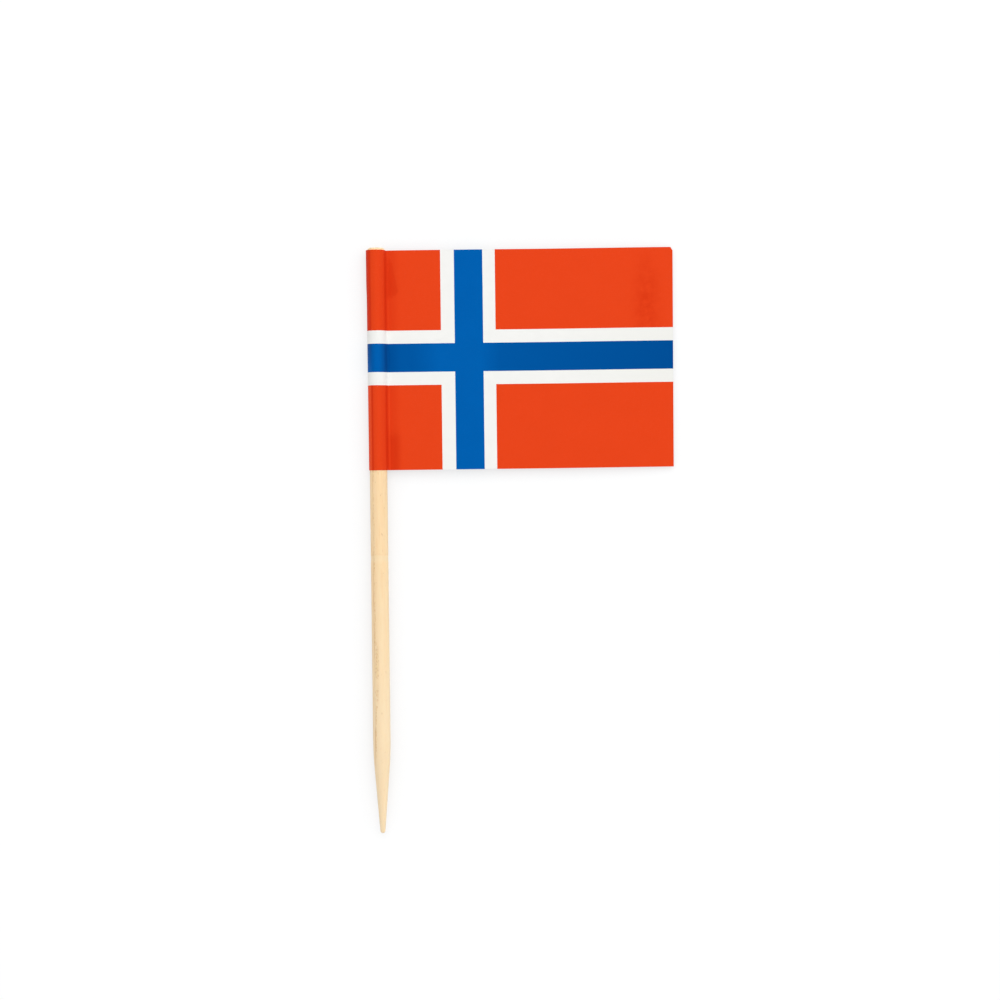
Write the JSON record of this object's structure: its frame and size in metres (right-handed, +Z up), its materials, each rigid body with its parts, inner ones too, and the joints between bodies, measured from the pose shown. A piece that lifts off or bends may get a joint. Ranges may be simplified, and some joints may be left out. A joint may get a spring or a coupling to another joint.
{
  "type": "flag toothpick",
  "caption": "Round wooden pick with one pointed end, and a small printed paper flag folded and glued round its other end. It lies flat.",
  "frame": {"origin": "middle of the lying part's outer box, on the surface it lies on", "axes": "+Y along the pick, away from its point; +X from the pick towards the flag's far edge; +Z up, out of the flag's front face"},
  "size_m": [0.0352, 0.0672, 0.0023],
  "materials": {
    "wood": "bare sanded birch",
    "white_paper": "smooth uncoated white paper",
    "red_ink": "matt red printing ink on paper",
    "blue_ink": "matt blue printing ink on paper",
    "glue": "dried white glue"
  },
  "bodies": {
    "root": {"toothpick": "wood", "paper_flag": "white_paper", "red_print": "red_ink", "blue_print": "blue_ink", "glue_film": "glue"}
  },
  "joints": []
}
